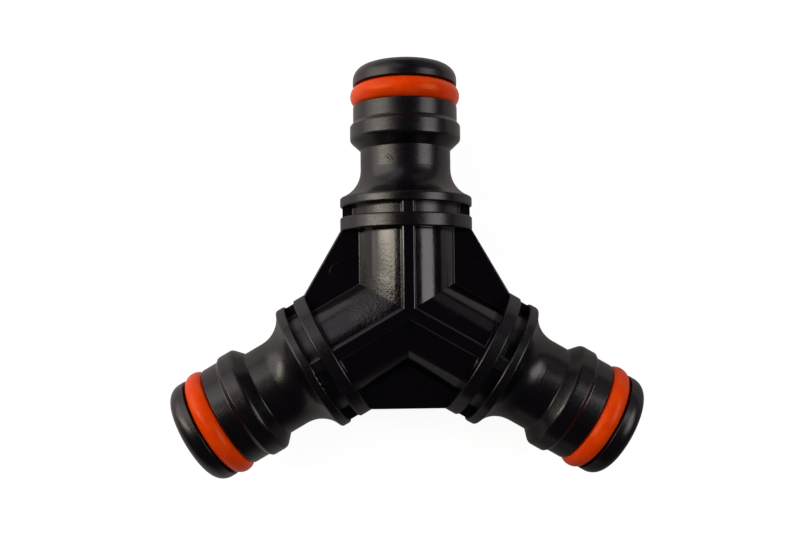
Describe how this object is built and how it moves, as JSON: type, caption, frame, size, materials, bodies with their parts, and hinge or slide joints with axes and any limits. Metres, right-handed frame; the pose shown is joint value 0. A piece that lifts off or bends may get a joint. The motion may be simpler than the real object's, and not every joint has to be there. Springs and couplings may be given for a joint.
{
  "type": "three-way hose coupler",
  "caption": "Y-shaped garden hose coupler: identical click-on nipples with O-ring seals, set evenly around a ribbed and webbed hub that joins their waterways.",
  "frame": {"origin": "hub centre, where the three waterways meet, on the mid-plane of the webs", "axes": "+Z square to the plane of the Y, out of its upper face; one arm runs along +Y and the others 120 degrees to each side of it; +X points to the right"},
  "size_m": [0.0728, 0.0636, 0.0206],
  "materials": {
    "moulded_plastic": "black, satin on the nipples and flanges, glossier on the hub tubes",
    "o_ring_rubber": "orange elastomer, semi-gloss"
  },
  "bodies": {
    "root": {"y_body": "moulded_plastic", "o_ring_top": "o_ring_rubber", "o_ring_left": "o_ring_rubber", "o_ring_right": "o_ring_rubber"}
  },
  "joints": []
}
